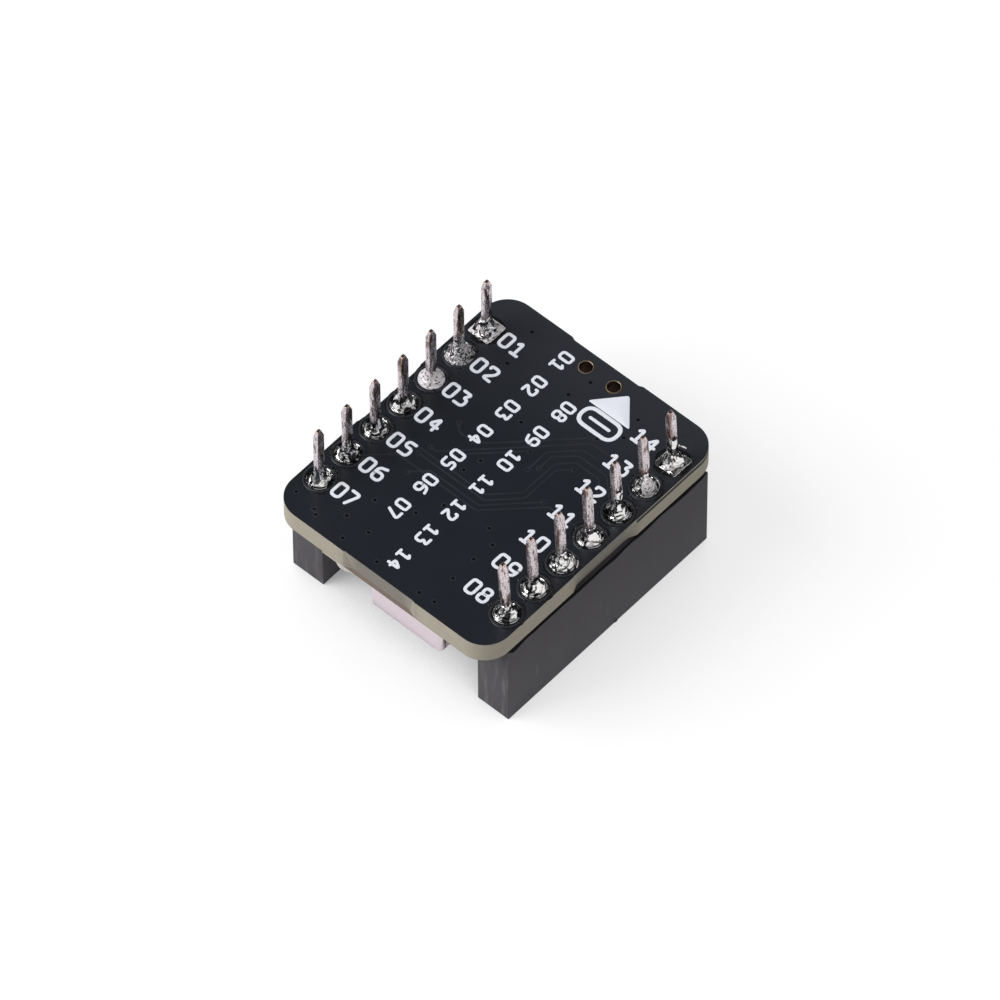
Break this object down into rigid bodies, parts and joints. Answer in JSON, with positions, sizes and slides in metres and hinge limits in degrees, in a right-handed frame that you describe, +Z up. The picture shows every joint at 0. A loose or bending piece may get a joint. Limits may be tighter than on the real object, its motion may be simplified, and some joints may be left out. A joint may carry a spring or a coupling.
{
  "type": "radio expansion board",
  "caption": "Small black radio board, solder side up, on two rows of pin sockets, with a shielded radio module and antenna socket underneath.",
  "frame": {"origin": "on the table under the board's centre, at the level of the sockets' feet", "axes": "+Z up out of the solder side, +Y along the pin rows to the end with the two open holes, +X toward the row that is on the right when seen from above with +Y away"},
  "size_m": [0.0178, 0.0214, 0.0135],
  "materials": {
    "carrier_board": "black solder mask on glass-epoxy",
    "module_board": "dark solder mask on glass-epoxy",
    "socket_plastic": "moulded black plastic",
    "tinned_contact": "tin plated, bare copper at the cut tips",
    "tinned_pad": "tinned copper",
    "solder": "bright solder",
    "can_metal": "satin nickel silver",
    "gold_plate": "gold plated",
    "pale_plastic": "moulded",
    "chip_plastic": "moulded epoxy",
    "chip_ceramic": "sintered"
  },
  "bodies": {
    "root": {"carrier_board": "carrier_board", "left_socket_housing": "socket_plastic", "left_square_pad": "tinned_pad", "left_contact_1": "tinned_contact", "left_solder_1": "solder", "left_contact_2": "tinned_contact", "left_solder_2": "solder", "left_contact_3": "tinned_contact", "left_solder_3": "solder", "left_contact_4": "tinned_contact", "left_solder_4": "solder", "left_contact_5": "tinned_contact", "left_solder_5": "solder", "left_contact_6": "tinned_contact", "left_solder_6": "solder", "left_contact_7": "tinned_contact", "left_solder_7": "solder", "right_socket_housing": "socket_plastic", "right_square_pad": "tinned_pad", "right_contact_1": "tinned_contact", "right_solder_1": "solder", "right_contact_2": "tinned_contact", "right_solder_2": "solder", "right_contact_3": "tinned_contact", "right_solder_3": "solder", "right_contact_4": "tinned_contact", "right_solder_4": "solder", "right_contact_5": "tinned_contact", "right_solder_5": "solder", "right_contact_6": "tinned_contact", "right_solder_6": "solder", "right_contact_7": "tinned_contact", "right_solder_7": "solder", "module_board": "module_board", "module_joints": "solder", "shield_can": "can_metal", "antenna_base": "pale_plastic", "antenna_shell": "gold_plate", "antenna_pin": "gold_plate", "radio_chip": "chip_plastic", "crystal_oscillator": "can_metal", "antenna_switch_chip": "chip_plastic", "module_chip_bodies": "chip_ceramic", "module_chip_caps": "solder", "carrier_chip_bodies": "chip_ceramic", "carrier_chip_caps": "solder"}
  },
  "joints": []
}
